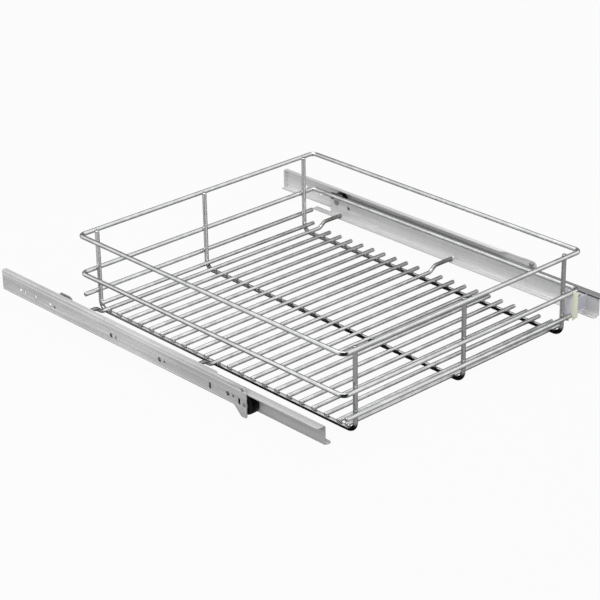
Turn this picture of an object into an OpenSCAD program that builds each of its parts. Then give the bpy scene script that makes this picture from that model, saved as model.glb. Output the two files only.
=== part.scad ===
// Pull out cabinet basket: a welded wire tray on a pair of single-extension roller runners.
// Origin: midway between the two cabinet sides, on the line through the front screw holes.
// +X is the user's right, -Y is towards the user (the way the basket opens), +Z is up.

/* [Basket] */
// Width of the tray between the centres of its side wires
basket_w = 420; // [400:1:440]
// Depth of the tray between the centres of its front and rear wires
basket_d = 494; // [486:1:500]
// Height from the floor wires' centre to the top ring's centre
basket_h = 111; // [105.5:0.5:113.5]
// How far the middle ring lies below the top ring
mid_ring_drop = 54; // [46:1:60]
// How far the lower cross wires lie below the top ring
low_wire_drop = 86; // [76:1:92]
// How far the tray's front wire stands ahead of the front screw holes
basket_out = 147.5; // [140:0.5:150]

/* [Wires] */
// Diameter of the rings, frames and lower cross wires
frame_wire_d = 6; // [5:0.5:7]
// Diameter of the floor rods, and of the two that rise to the runners and carry the tray
rod_d = 5.5; // [4:0.5:6]
// Bend radius of the frame wires, at the wire's centre
bend_r = 12; // [10:1:14]
// Bend radius at the rings' corners, at the wire's centre
ring_bend_r = 8; // [6:1:14]
// How far in from the side wires the two outer frame wires stand
frame_inset = 24.5; // [20:0.5:30]
// Number of evenly spaced floor rods, with the two that carry the tray
rod_count = 21; // [15:1:22]
// Distance from the front wire to the first evenly spaced rod
rod_front_gap = 32; // [30:1:34]
// Distance from the last evenly spaced rod to the rear wire
rod_rear_gap = 24; // [22:1:26]
// How far the floor rods run past the left frame wire
rod_left_over = 4; // [3:0.5:8]
// How far the floor rods run past the right frame wire
rod_right_over = 13; // [8:0.5:14]

/* [Runners] */
// Gap from the centre of a side wire to the cabinet side
side_gap = 50.6; // [48:0.1:56]
// Sheet thickness of the rails
sheet_t = 1.2; // [1:0.1:1.4]
// Length of the rail that is screwed to the cabinet
cabinet_rail_l = 490; // [480:1:520]
// Height of the rail that is screwed to the cabinet
cabinet_rail_h = 29; // [29:0.5:30]
// Length of the rail that the tray sits on
drawer_rail_l = 502; // [492:1:504]
// How far that rail runs ahead of the tray's front wire
drawer_lead = 6; // [4:0.5:12]
// Height of the rail that the tray sits on
drawer_rail_h = 26; // [25:0.5:26]
// Gap from the drawer rail's web to the cabinet side
rail_gap = 14; // [13.8:0.1:15]
// Diameter of the front nylon rollers
front_roller_d = 26; // [25.6:0.1:26]
// Diameter of the rear nylon rollers
rear_roller_d = 25; // [24:0.1:26]
// Diameter of the roller axles
axle_d = 6; // [5:0.5:6.5]

/* [Screw holes] */
// Diameter of the main screw holes
screw_hole_d = 6.3; // [5:0.1:6.5]
// Diameter of the small screw holes beside them
small_hole_d = 4.2; // [3.5:0.1:4.5]
// Spacing of the pitch that the screw holes follow
hole_pitch = 32; // [32]

/* [Hidden] */
$fn = 48;

// Fits. Moving faces keep running_gap, a pin in its hole keeps pin_gap, welds bite weld_bite.
running_gap = 0.3;
pin_gap = 0.05;
weld_bite = 0.1;

// Places across the object
cabinet_x = basket_w / 2 + side_gap;
web_outer_x = cabinet_x - rail_gap;
web_inner_x = web_outer_x - sheet_t;
frame_x = basket_w / 2 - frame_inset;

// Places front to rear
front_y = -basket_out;
rear_y = front_y + basket_d;
post_step = frame_wire_d - weld_bite;
front_post_y = front_y + post_step;
rear_post_y = rear_y - post_step;

// The cabinet rail's height is split about the screw line
cabinet_bottom_z = -11;
cabinet_top_z = cabinet_bottom_z + cabinet_rail_h;
cabinet_front_y = -33.5;
cabinet_rear_y = cabinet_front_y + cabinet_rail_l;
top_flange = 7;
bottom_flange = 12;
lug_w = 9.5;
lug_z = -22;
lug_slope_y = -12;
lug_r = 3;
ear_r = 5;
flange_cut_y = 12;
flange_cut_r = 19;
sheet_r = 0.6;

// Rollers: the front one turns on the cabinet rail and carries the drawer rail's top flange,
// the rear one turns on the drawer rail and runs between the cabinet rail's flanges.
front_roller_r = front_roller_d / 2;
rear_roller_r = rear_roller_d / 2;
rear_roller_z = cabinet_bottom_z + sheet_t + running_gap + rear_roller_r;
drawer_top_z = 9.6;
drawer_bottom_z = drawer_top_z - drawer_rail_h;
front_roller_z = drawer_top_z - sheet_t - running_gap - front_roller_r;
front_roller_y = -29.5;
drawer_front_y = front_y - drawer_lead;
drawer_rear_y = drawer_front_y + drawer_rail_l;
rear_roller_y = drawer_rear_y - 13;
carry_flange = 11.5;
carry_flange_end_y = rear_roller_y - rear_roller_r - 1;
rear_ear_z = cabinet_top_z - 2;
rear_ear_r = 5;
tray_flange = 10;
tray_flange_tail = 28;
flange_chamfer = 3;
web_corner_r = 2;
// Holes in the drawer rail's web: place along it, height and diameter
web_holes = [[drawer_rear_y - 37.5, -0.5, 5], [front_y + 400.5, -11, 3.5], [front_y + 252.5, -12, 4]];
axle_r = axle_d / 2;
bore_r = axle_r + pin_gap;
axle_hole_r = axle_r + pin_gap;
collar_r = axle_r + 2;
head_r = axle_r + 1.6;
head_recess_r = head_r + 0.6;
head_t = 1.2;
recess_depth = head_t + running_gap + 0.2;
front_roller_w = 10.6;
rear_roller_w = 9;
front_collar_t = 0.5;
rear_collar_t = 1.9;
inner_head_t = 0.8;
stop_pin_d = 5;
stop_pin_l = 3.8;
stop_pin_y = -26.5;
stop_pin_z = 14;
end_stop_w = 8;

// Screw holes, in steps of the hole pitch behind the front hole
hole_steps = [0, 4, 7, 11, 13];
small_hole_lead = 9.7;
slot_w = 4.2;
slot_h = 9;
slot_places = [[-20.5, -3.2], [32.5, -1], [383.5, -0.2]];

// Tray levels
floor_z = -25.4;
top_ring_z = floor_z + basket_h;
mid_ring_z = top_ring_z - mid_ring_drop;
low_wire_z = top_ring_z - low_wire_drop;
rod_z = floor_z + (frame_wire_d + rod_d) / 2 - weld_bite;
hanger_seat_z = drawer_bottom_z + sheet_t + rod_d / 2 - weld_bite;
post_tip = 1.5;
low_wire_inset = 3;
tip_l = 0.8;

// Floor rods
rod_pitch = (basket_d - rod_front_gap - rod_rear_gap) / (rod_count - 1);
first_rod_y = front_post_y + bend_r;
corner_rod_lean = 75;
corner_rod_r = bend_r - (frame_wire_d + rod_d) / 2 + weld_bite;
rod_left_x = -frame_x - rod_left_over;
rod_right_x = frame_x + rod_right_over;

// The middle and the last of the evenly spaced rods are the hanger rods
HANGERS = [["middle", floor(rod_count / 2)], ["rear", rod_count - 1]];
plain_steps = [for (i = [0 : rod_count - 1]) if (i != HANGERS[0][1] && i != HANGERS[1][1]) i];
hanger_bend_r = 9;
hanger_slope = atan2(3, 4);
hanger_bend_x = frame_x + 13;
hanger_end_x = web_inner_x - 4.5;

// Front clip, at the right-hand front corner only
clip_inset = 14.6;
clip_lead = 11;
clip_setback = 14;
clip_x = basket_w / 2 - clip_inset;
clip_front_y = front_y - clip_lead;
clip_back_y = front_y + clip_setback;
clip_top_z = mid_ring_z + frame_wire_d / 2;
clip_bottom_z = low_wire_z - 9;
clip_chamfer = 10.5;
clip_notch_r = frame_wire_d / 2 + 0.2;
strap_top_z = drawer_top_z;
strap_bottom_z = low_wire_z - 8;
leaf_l = 22;
leaf_top_z = drawer_top_z - 3;
leaf_bottom_z = drawer_bottom_z + 4;
rivet_r = 2;
rivet_head_r = 3.5;
rivet_head_t = 1.4;
rivet_y = clip_back_y + 13;
rivet_places = [["upper", leaf_top_z - 5], ["lower", leaf_bottom_z + 5]];

SIDES = [["left", -1], ["right", 1]];
ROD_NUMBERS = [for (i = [1 : len(plain_steps) + 1]) i];

// ---------- Bent wire, drawn in the XY plane along a list of corner points ----------

function heading(a, b) = atan2(b[1] - a[1], b[0] - a[0]);
function wrapped(angle) = angle > 180 ? angle - 360 : angle < -180 ? angle + 360 : angle;
function turn(a, b, c) = wrapped(heading(b, c) - heading(a, b));
function setback(a, b, c, r) = r * tan(abs(turn(a, b, c)) / 2);
function towards(a, b, l) = a + (b - a) / norm(b - a) * l;

module wire_run(a, b, d) {
    translate(a) rotate([0, 0, heading(a, b)]) rotate([0, 90, 0]) cylinder(h = norm(b - a), d = d);
}

module wire_bend(a, b, c, d, r) {
    angle = turn(a, b, c);
    from = towards(b, a, setback(a, b, c, r));
    out = heading(a, b) + (angle > 0 ? 90 : -90);
    centre = from + r * [cos(out), sin(out)];
    start = angle > 0 ? out + 180 : out + 180 + angle;
    translate(centre) rotate([0, 0, start]) rotate_extrude(angle = abs(angle))
        translate([r, 0]) circle(d = d);
}

module open_wire(points, d, r) {
    last = len(points) - 1;
    cut = [for (i = [0 : last])
        i == 0 || i == last ? 0 : setback(points[i - 1], points[i], points[i + 1], r)];
    for (i = [0 : last - 1])
        wire_run(towards(points[i], points[i + 1], cut[i]),
                 towards(points[i + 1], points[i], cut[i + 1]), d);
    for (i = [1 : last - 1]) wire_bend(points[i - 1], points[i], points[i + 1], d, r);
}

module closed_wire(points, d, r) {
    n = len(points);
    for (i = [0 : n - 1]) {
        a = points[i];
        b = points[(i + 1) % n];
        c = points[(i + 2) % n];
        wire_run(towards(a, b, r), towards(b, a, r), d);
        wire_bend(a, b, c, d, r);
    }
}

// A straight rod along X with chamfered ends
module straight_rod(x0, x1, d) {
    tip_d = d - 2 * tip_l;
    translate([x0 + tip_l, 0, 0]) rotate([0, 90, 0]) cylinder(h = x1 - x0 - 2 * tip_l, d = d);
    translate([x0, 0, 0]) rotate([0, 90, 0]) cylinder(h = tip_l, d1 = tip_d, d2 = d);
    translate([x1 - tip_l, 0, 0]) rotate([0, 90, 0]) cylinder(h = tip_l, d1 = d, d2 = tip_d);
}

// Turn a drawing's X and Y into the object's Y and Z
module on_side() { rotate([90, 0, 90]) children(); }

// Turn a drawing's X and Y into the object's X and Z
module on_front() { rotate([90, 0, 0]) children(); }

// Draw the right-hand half, mirrored for the left
module handed(side) { mirror([side < 0 ? 1 : 0, 0, 0]) children(); }

// ---------- Tray ----------

module ring(z) {
    w = basket_w / 2;
    translate([0, 0, z])
        closed_wire([[-w, front_y], [w, front_y], [w, rear_y], [-w, rear_y]], frame_wire_d, ring_bend_r);
}

module top_ring() { color("gainsboro") ring(top_ring_z); }

module middle_ring() { color("gainsboro") ring(mid_ring_z); }

module low_wire(y) {
    reach = basket_w / 2 - low_wire_inset;
    color("gainsboro") translate([0, y, low_wire_z]) straight_rod(-reach, reach, frame_wire_d);
}

module frame_wire(x) {
    top = top_ring_z + post_tip;
    color("gainsboro") translate([x, 0, 0]) on_side()
        open_wire([[front_post_y, top], [front_post_y, floor_z], [rear_post_y, floor_z], [rear_post_y, top]],
                  frame_wire_d, bend_r);
}

// Where an evenly spaced rod lies, by its step from the first one
function rod_y(step) = front_y + rod_front_gap + step * rod_pitch;

module floor_rod(number) {
    y = number == 1 ? first_rod_y : rod_y(plain_steps[number - 2]);
    color("silver") translate([0, y, rod_z]) straight_rod(rod_left_x, rod_right_x, rod_d);
}

// The last rod lies in the frame wires' rear bend
module corner_rod() {
    y = rear_post_y - bend_r + corner_rod_r * sin(corner_rod_lean);
    z = floor_z + bend_r - corner_rod_r * cos(corner_rod_lean);
    color("silver") translate([0, y, z]) straight_rod(rod_left_x, rod_right_x, rod_d);
}

module hanger_rod(step) {
    rise_run = (hanger_seat_z - rod_z) / tan(hanger_slope);
    half = [[hanger_bend_x, rod_z], [hanger_bend_x + rise_run, hanger_seat_z], [hanger_end_x, hanger_seat_z]];
    other = [for (i = [2 : -1 : 0]) [-half[i][0], half[i][1]]];
    color("silver") translate([0, rod_y(step), 0]) on_front()
        open_wire(concat(other, half), rod_d, hanger_bend_r);
}

// ---------- Rails ----------

// A rectangle with round corners, from corner a to corner b
module soft_rect(a, b, r) {
    translate([a[0] + r, a[1]]) square([b[0] - a[0] - 2 * r, b[1] - a[1]]);
    translate([a[0], a[1] + r]) square([b[0] - a[0], b[1] - a[1] - 2 * r]);
    for (x = [a[0] + r, b[0] - r], y = [a[1] + r, b[1] - r]) translate([x, y]) circle(r = r);
}

module along_y(from, to) { translate([0, to, 0]) rotate([90, 0, 0]) linear_extrude(to - from) children(); }

// Channel that opens towards the tray
module cabinet_section() {
    deep = cabinet_x - 2 * bottom_flange;
    middle_z = (cabinet_top_z + cabinet_bottom_z) / 2;
    difference() {
        soft_rect([deep, cabinet_bottom_z], [cabinet_x, cabinet_top_z], sheet_t + sheet_r);
        soft_rect([deep - bottom_flange, cabinet_bottom_z + sheet_t],
                  [cabinet_x - sheet_t, cabinet_top_z - sheet_t], sheet_r);
        translate([deep - 1, cabinet_bottom_z - 1]) square([bottom_flange + 1, cabinet_rail_h + 2]);
        translate([deep - 1, middle_z]) square([2 * bottom_flange - top_flange + 1, cabinet_rail_h]);
    }
}

// Web outline ahead of the flanges: a round ear above, a lug for the roller below
module ear_outline() {
    difference() {
        polygon([[cabinet_front_y, lug_z], [cabinet_front_y + lug_w, lug_z], [lug_slope_y, cabinet_bottom_z],
                 [lug_slope_y + 1, cabinet_bottom_z], [lug_slope_y + 1, cabinet_top_z],
                 [cabinet_front_y, cabinet_top_z]]);
        translate([cabinet_front_y, cabinet_top_z - ear_r]) difference() {
            translate([-1, 0]) square([ear_r + 1, ear_r + 1]);
            translate([ear_r, 0]) circle(r = ear_r);
        }
        translate([cabinet_front_y, lug_z]) low_corner(lug_r);
    }
}

// What a round lower front corner cuts away
module low_corner(r) {
    difference() {
        translate([-1, -1]) square(r + 1);
        translate([r, r]) circle(r = r);
    }
}

module side_drill(y, z, d) {
    translate([cabinet_x - 2 * sheet_t, y, z]) rotate([0, 90, 0]) cylinder(h = 4 * sheet_t, d = d);
}

module side_slot(y, z) {
    half = (slot_h - slot_w) / 2;
    for (end = [-half, half]) side_drill(y, z + end, slot_w);
    translate([cabinet_x - 2 * sheet_t, y - slot_w / 2, z - half]) cube([4 * sheet_t, slot_w, 2 * half]);
}

module cabinet_rail(side) {
    flange_cut_x = cabinet_x - sheet_t - flange_cut_r;
    color("lightgray") handed(side) difference() {
        union() {
            along_y(lug_slope_y, cabinet_rear_y) cabinet_section();
            translate([cabinet_x - sheet_t, 0, 0]) on_side() linear_extrude(sheet_t) ear_outline();
            translate([cabinet_x - end_stop_w, cabinet_rear_y - sheet_t, cabinet_bottom_z + sheet_t / 2])
                cube([end_stop_w - sheet_t / 2, sheet_t, cabinet_rail_h - sheet_t]);
        }
        // The top flange sweeps up to the web in a hollow curve
        translate([flange_cut_x, flange_cut_y, cabinet_top_z - 3 * sheet_t])
            cylinder(h = 4 * sheet_t, r = flange_cut_r, $fn = 96);
        translate([cabinet_x - 2 * bottom_flange, lug_slope_y - 1, cabinet_top_z - 3 * sheet_t])
            cube([2 * bottom_flange - sheet_t, flange_cut_y - lug_slope_y + 1, 4 * sheet_t]);
        for (step = hole_steps) {
            side_drill(step * hole_pitch, 0, screw_hole_d);
            side_drill(step * hole_pitch - small_hole_lead, 0, small_hole_d);
        }
        for (place = slot_places) side_slot(place[0], place[1]);
        side_drill(front_roller_y, front_roller_z, 2 * axle_hole_r);
        side_drill(stop_pin_y, stop_pin_z, stop_pin_d + 2 * pin_gap);
    }
}

// Z section: the top flange reaches over the front roller, the bottom one under the tray's rods
module drawer_section(top_flange_w) {
    middle_z = (drawer_top_z + drawer_bottom_z) / 2;
    reach = drawer_rail_h;
    if (top_flange_w > 0) intersection() {
        translate([web_inner_x, middle_z]) square([sheet_t + top_flange_w, reach]);
        difference() {
            soft_rect([web_inner_x, middle_z - reach], [web_inner_x + reach, drawer_top_z],
                      sheet_t + sheet_r);
            soft_rect([web_outer_x, middle_z - 2 * reach],
                      [web_outer_x + reach, drawer_top_z - sheet_t], sheet_r);
        }
    }
    else translate([web_inner_x, middle_z]) square([sheet_t, drawer_top_z - middle_z]);
    intersection() {
        translate([web_inner_x - tray_flange, middle_z - reach]) square([sheet_t + tray_flange, reach]);
        difference() {
            soft_rect([web_outer_x - reach, drawer_bottom_z], [web_outer_x, middle_z + reach],
                      sheet_t + sheet_r);
            soft_rect([web_inner_x - reach, drawer_bottom_z + sheet_t],
                      [web_inner_x, middle_z + 2 * reach], sheet_r);
        }
    }
}

module drawer_rail(side) {
    color("lightgray") handed(side) difference() {
        union() {
            along_y(drawer_front_y, carry_flange_end_y) drawer_section(carry_flange);
            along_y(carry_flange_end_y, drawer_rear_y) drawer_section(0);
            translate([web_inner_x - tray_flange, drawer_rear_y, drawer_bottom_z])
                cube([tray_flange, tray_flange_tail, sheet_t]);
            // The web's rear end stands up as an ear behind the carrying flange
            translate([web_inner_x, 0, 0]) on_side() linear_extrude(sheet_t)
                soft_rect([carry_flange_end_y, drawer_bottom_z + 5], [drawer_rear_y, rear_ear_z], rear_ear_r);
        }
        for (cut = [[web_outer_x + carry_flange, drawer_top_z], [web_inner_x - tray_flange, drawer_bottom_z]])
            translate([cut[0], drawer_front_y, cut[1]]) rotate([0, 0, 45])
                cube([flange_chamfer, flange_chamfer, 4 * sheet_t], center = true);
        translate([web_inner_x - 2 * sheet_t, drawer_front_y, drawer_bottom_z]) on_side()
            linear_extrude(4 * sheet_t) low_corner(web_corner_r);
        web_drill(rear_roller_y, rear_roller_z, 2 * axle_hole_r);
        for (hole = web_holes) web_drill(hole[0], hole[1], hole[2]);
        if (side > 0) for (place = rivet_places) web_drill(rivet_y, place[1], 2 * (rivet_r + pin_gap));
    }
}

module web_drill(y, z, d) {
    translate([web_inner_x - 1, y, z]) rotate([0, 90, 0]) cylinder(h = sheet_t + 2, d = d);
}

// ---------- Rollers ----------

// A roller along +X with a recess for the axle's head at its far end
module roller(r, width) {
    edge = 1;
    rotate([0, 90, 0]) rotate_extrude() polygon([
        [bore_r, 0], [r - edge, 0], [r, edge], [r, width - edge],
        [r - edge, width], [head_recess_r, width], [head_recess_r, width - recess_depth],
        [bore_r, width - recess_depth]]);
}

// An axle along +X: shank in the sheet, collar outside it, head at the far end
module axle(collar_t, width) {
    head_at = collar_t + running_gap + width - recess_depth + running_gap;
    rotate([0, 90, 0]) {
        translate([0, 0, -sheet_t]) cylinder(h = sheet_t + head_at + head_t / 2, r = axle_r);
        cylinder(h = collar_t, r = collar_r);
        translate([0, 0, head_at]) cylinder(h = head_t, r = head_r);
    }
}

module front_axle(side) {
    color("darkgray") handed(side) translate([cabinet_x - sheet_t, front_roller_y, front_roller_z])
        mirror([1, 0, 0]) axle(front_collar_t, front_roller_w);
}

module front_roller(side) {
    color("black") handed(side)
        translate([cabinet_x - sheet_t - front_collar_t - running_gap, front_roller_y, front_roller_z])
            mirror([1, 0, 0]) roller(front_roller_r, front_roller_w);
}

module rear_axle(side) {
    color("darkgray") handed(side) translate([web_outer_x, rear_roller_y, rear_roller_z]) {
        axle(rear_collar_t, rear_roller_w);
        translate([-sheet_t - inner_head_t, 0, 0]) rotate([0, 90, 0]) cylinder(h = inner_head_t, r = head_r);
    }
}

module rear_roller(side) {
    color("black") handed(side)
        translate([web_outer_x + rear_collar_t + running_gap, rear_roller_y, rear_roller_z])
            roller(rear_roller_r, rear_roller_w);
}

module stop_pin(side) {
    color("darkgray") handed(side) translate([cabinet_x - sheet_t - stop_pin_l, stop_pin_y, stop_pin_z])
        rotate([0, 90, 0]) cylinder(h = stop_pin_l + sheet_t, d = stop_pin_d);
}

// ---------- Front clip ----------

// Side plate with a notch over the middle ring's front wire and one under the lower wire's end
module clip_plate() {
    ring_at = [front_y, mid_ring_z];
    wire_at = [front_y, low_wire_z];
    translate([clip_x, 0, 0]) on_side() linear_extrude(sheet_t) difference() {
        polygon([[clip_front_y, clip_bottom_z + clip_chamfer], [clip_front_y + clip_chamfer, clip_bottom_z],
                 [clip_back_y + sheet_t, clip_bottom_z], [clip_back_y + sheet_t, clip_top_z],
                 [clip_front_y, clip_top_z]]);
        translate(ring_at) circle(r = clip_notch_r);
        translate([ring_at[0] - clip_notch_r, ring_at[1]]) square([2 * clip_notch_r, clip_top_z]);
        translate(wire_at) circle(r = clip_notch_r);
        translate([wire_at[0] - clip_notch_r, 2 * clip_bottom_z - wire_at[1]])
            square([2 * clip_notch_r, 2 * (wire_at[1] - clip_bottom_z)]);
    }
}

module front_clip() {
    color("lavender") difference() {
        union() {
            clip_plate();
            translate([clip_x, clip_back_y, strap_bottom_z])
                cube([web_inner_x - clip_x, sheet_t, strap_top_z - strap_bottom_z]);
            translate([web_inner_x - sheet_t, clip_back_y, leaf_bottom_z])
                cube([sheet_t, leaf_l, leaf_top_z - leaf_bottom_z]);
        }
        for (place = rivet_places)
            translate([web_inner_x - 2 * sheet_t, rivet_y, place[1]]) rotate([0, 90, 0])
                cylinder(h = 2 * sheet_t + 1, r = rivet_r + pin_gap);
    }
}

module clip_rivet(z) {
    color("darkgray") translate([web_inner_x - sheet_t, rivet_y, z]) rotate([0, 90, 0]) {
        cylinder(h = 2 * sheet_t, r = rivet_r);
        translate([0, 0, -rivet_head_t]) cylinder(h = rivet_head_t, r = rivet_head_r);
    }
}

// ---------- Assembly ----------

for (s = SIDES) {
    cabinet_rail(s[1]);
    stop_pin(s[1]);
    front_axle(s[1]);
    front_roller(s[1]);
    drawer_rail(s[1]);
    rear_axle(s[1]);
    rear_roller(s[1]);
}
top_ring();
middle_ring();
low_wire(front_y);  // front_low_wire
low_wire(rear_y);  // rear_low_wire
frame_wire(-frame_x);  // frame_wire_left
frame_wire(0);  // frame_wire_middle
frame_wire(frame_x);  // frame_wire_right
for (i = ROD_NUMBERS)
    floor_rod(i);
corner_rod();
for (h = HANGERS)
    hanger_rod(h[1]);
front_clip();
for (r = rivet_places)
    clip_rivet(r[1]);
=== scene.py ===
"""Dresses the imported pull-out wire basket: plated wires, sheet rails, rollers, studio and camera."""

import logging
import math
from collections.abc import Sequence
from dataclasses import dataclass, field
from enum import Enum

import bmesh
import bpy
from bpy.types import Material, Node, NodeSocket, NodeTree, Object
from mathutils import Matrix, Vector


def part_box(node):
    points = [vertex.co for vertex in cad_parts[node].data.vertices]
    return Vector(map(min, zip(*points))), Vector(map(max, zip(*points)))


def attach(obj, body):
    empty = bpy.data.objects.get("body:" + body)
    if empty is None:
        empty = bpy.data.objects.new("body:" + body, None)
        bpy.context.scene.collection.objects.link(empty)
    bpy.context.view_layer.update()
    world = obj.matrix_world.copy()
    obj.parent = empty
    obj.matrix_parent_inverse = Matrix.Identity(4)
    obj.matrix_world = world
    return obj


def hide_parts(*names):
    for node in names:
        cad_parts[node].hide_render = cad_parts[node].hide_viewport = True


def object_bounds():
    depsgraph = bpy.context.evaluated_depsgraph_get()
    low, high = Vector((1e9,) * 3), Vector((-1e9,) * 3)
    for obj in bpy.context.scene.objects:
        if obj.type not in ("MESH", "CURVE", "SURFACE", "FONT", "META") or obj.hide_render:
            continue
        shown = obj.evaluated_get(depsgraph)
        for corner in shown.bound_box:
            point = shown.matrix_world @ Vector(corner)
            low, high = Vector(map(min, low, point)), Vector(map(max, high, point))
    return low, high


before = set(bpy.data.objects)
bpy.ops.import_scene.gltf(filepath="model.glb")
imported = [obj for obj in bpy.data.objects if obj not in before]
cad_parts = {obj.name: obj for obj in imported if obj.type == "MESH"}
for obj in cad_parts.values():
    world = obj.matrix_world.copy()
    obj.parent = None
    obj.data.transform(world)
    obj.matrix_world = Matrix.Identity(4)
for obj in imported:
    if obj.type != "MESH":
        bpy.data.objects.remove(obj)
CAD_BOX = [list(corner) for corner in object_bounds()]

log = logging.getLogger("basket")
MM = 0.001
BASKET = "basket"
RUNNERS = "runners"

# Edges sharper than these stay crisp, in degrees.
WIRE_CREASE = 40
SHEET_CREASE = 30
TURNED_CREASE = 32
BEAD_CREASE = 60

# How a CAD mesh is cleaned and bevelled: metres for the first, degrees for the others.
MERGE_WITHIN = 1e-6
FLAT_WITHIN = 0.5
BEVEL_FROM = 40

Span = tuple[float, float]
Triple = tuple[float, float, float]
Colour = Triple


class Side(Enum):
    """The two hands of the runners, seen by the user."""

    LEFT = -1
    RIGHT = 1

    @property
    def word(self) -> str:
        """The side's name as the CAD nodes write it."""
        return self.name.lower()


# ---------------- node graphs


@dataclass(frozen=True)
class Value:
    """A socket that takes part in Python arithmetic, which adds Math nodes to its graph."""

    graph: "Graph"
    socket: NodeSocket

    def _math(self, operation: str, first: object, second: object) -> "Value":
        """Adds one Math node."""
        return self.graph.value("ShaderNodeMath", {"operation": operation}, {0: first, 1: second})

    def __add__(self, other: object) -> "Value":
        """Sum."""
        return self._math("ADD", self, other)

    def __radd__(self, other: object) -> "Value":
        """Sum with the number on the left."""
        return self._math("ADD", other, self)

    def __sub__(self, other: object) -> "Value":
        """Difference."""
        return self._math("SUBTRACT", self, other)

    def __rsub__(self, other: object) -> "Value":
        """Difference with the number on the left."""
        return self._math("SUBTRACT", other, self)

    def __mul__(self, other: object) -> "Value":
        """Product."""
        return self._math("MULTIPLY", self, other)

    def __rmul__(self, other: object) -> "Value":
        """Product with the number on the left."""
        return self._math("MULTIPLY", other, self)

    def ramp(self, low: float, high: float) -> "Value":
        """Steps smoothly from 0 at the low end to 1 at the high end."""
        return self.graph.value("ShaderNodeMapRange", {"interpolation_type": "SMOOTHSTEP"},
                                {"Value": self, "From Min": low, "From Max": high})


@dataclass
class Graph:
    """Adds nodes to one node tree, for shaders and for Geometry Nodes alike."""

    tree: NodeTree

    def node(self, kind: str, settings: dict | None = None, values: dict | None = None) -> Node:
        """Adds a node: its settings first, then its sockets.

        Args:
            kind: The node's type name.
            settings: The node's own properties.
            values: Socket name or number to a value, a socket or a Value.

        Returns:
            The new node.
        """
        made = self.tree.nodes.new(kind)
        for name, setting in (settings or {}).items():
            setattr(made, name, setting)
        for name, value in (values or {}).items():
            self.feed(self.pick(made.inputs, name), value)
        return made

    @staticmethod
    def pick(sockets: Sequence[NodeSocket], name: str | int) -> NodeSocket:
        """Finds an enabled socket by its name, or by its number among the enabled ones."""
        enabled = [socket for socket in sockets if socket.enabled]
        return enabled[name] if isinstance(name, int) else next(s for s in enabled if s.name == name)

    def feed(self, socket: NodeSocket, value: object) -> None:
        """Links or sets one input socket.

        Args:
            socket: The input socket.
            value: A Value, an output socket or a plain value.
        """
        if isinstance(value, Value):
            value = value.socket
        if isinstance(value, NodeSocket):
            self.tree.links.new(value, socket)
        else:
            socket.default_value = value

    def output(self, kind: str, name: str | int = 0, settings: dict | None = None,
               values: dict | None = None) -> NodeSocket:
        """Adds a node for one output of it.

        Args:
            kind: The node's type name.
            name: The name or the number of an enabled output.
            settings: The node's own properties.
            values: Socket name or number to a value, a socket or a Value.

        Returns:
            The output socket.
        """
        return self.pick(self.node(kind, settings, values).outputs, name)

    def value(self, kind: str, settings: dict | None = None, values: dict | None = None,
              name: str | int = 0) -> Value:
        """Adds a node and wraps one of its outputs as a Value."""
        return Value(self, self.output(kind, name, settings, values))

    def mix(self, share: object, first: object, second: object) -> NodeSocket:
        """Mixes two colours or colour sockets, with the share of the second."""
        one, two = ((*end, 1) if isinstance(end, tuple) else end for end in (first, second))
        return self.output("ShaderNodeMix", settings={"data_type": "RGBA"},
                           values={"Factor": share, "A": one, "B": two})


@dataclass
class Painter(Graph):
    """A finish's graph, whose patterns lie on Object coordinates."""

    place: NodeSocket = field(init=False)

    def __post_init__(self) -> None:
        """Adds the coordinates."""
        self.place = self.output("ShaderNodeTexCoord", "Object")

    def axis(self, name: str, vector: NodeSocket | None = None) -> Value:
        """Takes one axis, by its letter, of the coordinates or of another vector."""
        return self.value("ShaderNodeSeparateXYZ", values={"Vector": vector or self.place}, name=name)

    def facing_up(self) -> Value:
        """Takes the height of the surface's normal, 1 where it faces up."""
        return self.axis("Z", self.output("ShaderNodeNewGeometry", "Normal"))


class Sweep:
    """Geometry Nodes tree that sweeps a round wire along a path mesh."""

    def __init__(self) -> None:
        """Builds the tree."""
        tree = new_geometry_tree("swept_wire", {"Diameter": "NodeSocketFloat", "Sides": "NodeSocketInt",
                                                "Finish": "NodeSocketMaterial"})
        graph = Graph(tree)
        given = graph.node("NodeGroupInput")
        path = graph.output("GeometryNodeMeshToCurve", values={"Mesh": given.outputs["Geometry"]})
        radius = Value(graph, given.outputs["Diameter"]) * 0.5
        ring = graph.output("GeometryNodeCurvePrimitiveCircle",
                            values={"Resolution": given.outputs["Sides"], "Radius": radius})
        girth = graph.output("GeometryNodeInputNamedAttribute", "Attribute", {"data_type": "FLOAT"},
                             {"Name": "girth"})
        wire = graph.output("GeometryNodeCurveToMesh",
                            values={"Curve": path, "Profile Curve": ring, "Scale": girth, "Fill Caps": True})
        close_tree(graph, wire, given)
        self.tree = tree

    def run(self, name: str, path: Object, diameter: float, sides: int, material: Material) -> Object:
        """Sweeps a path object.

        Args:
            name: The new piece's name.
            path: The path as a mesh of edges with a girth attribute.
            diameter: The wire's diameter.
            sides: The facets round the wire.
            material: Its finish.

        Returns:
            The wire as a plain mesh.
        """
        made = bake_nodes(name, path, self.tree, {"Diameter": diameter, "Sides": sides, "Finish": material})
        shade_by_angle(made, WIRE_CREASE)
        return made


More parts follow.
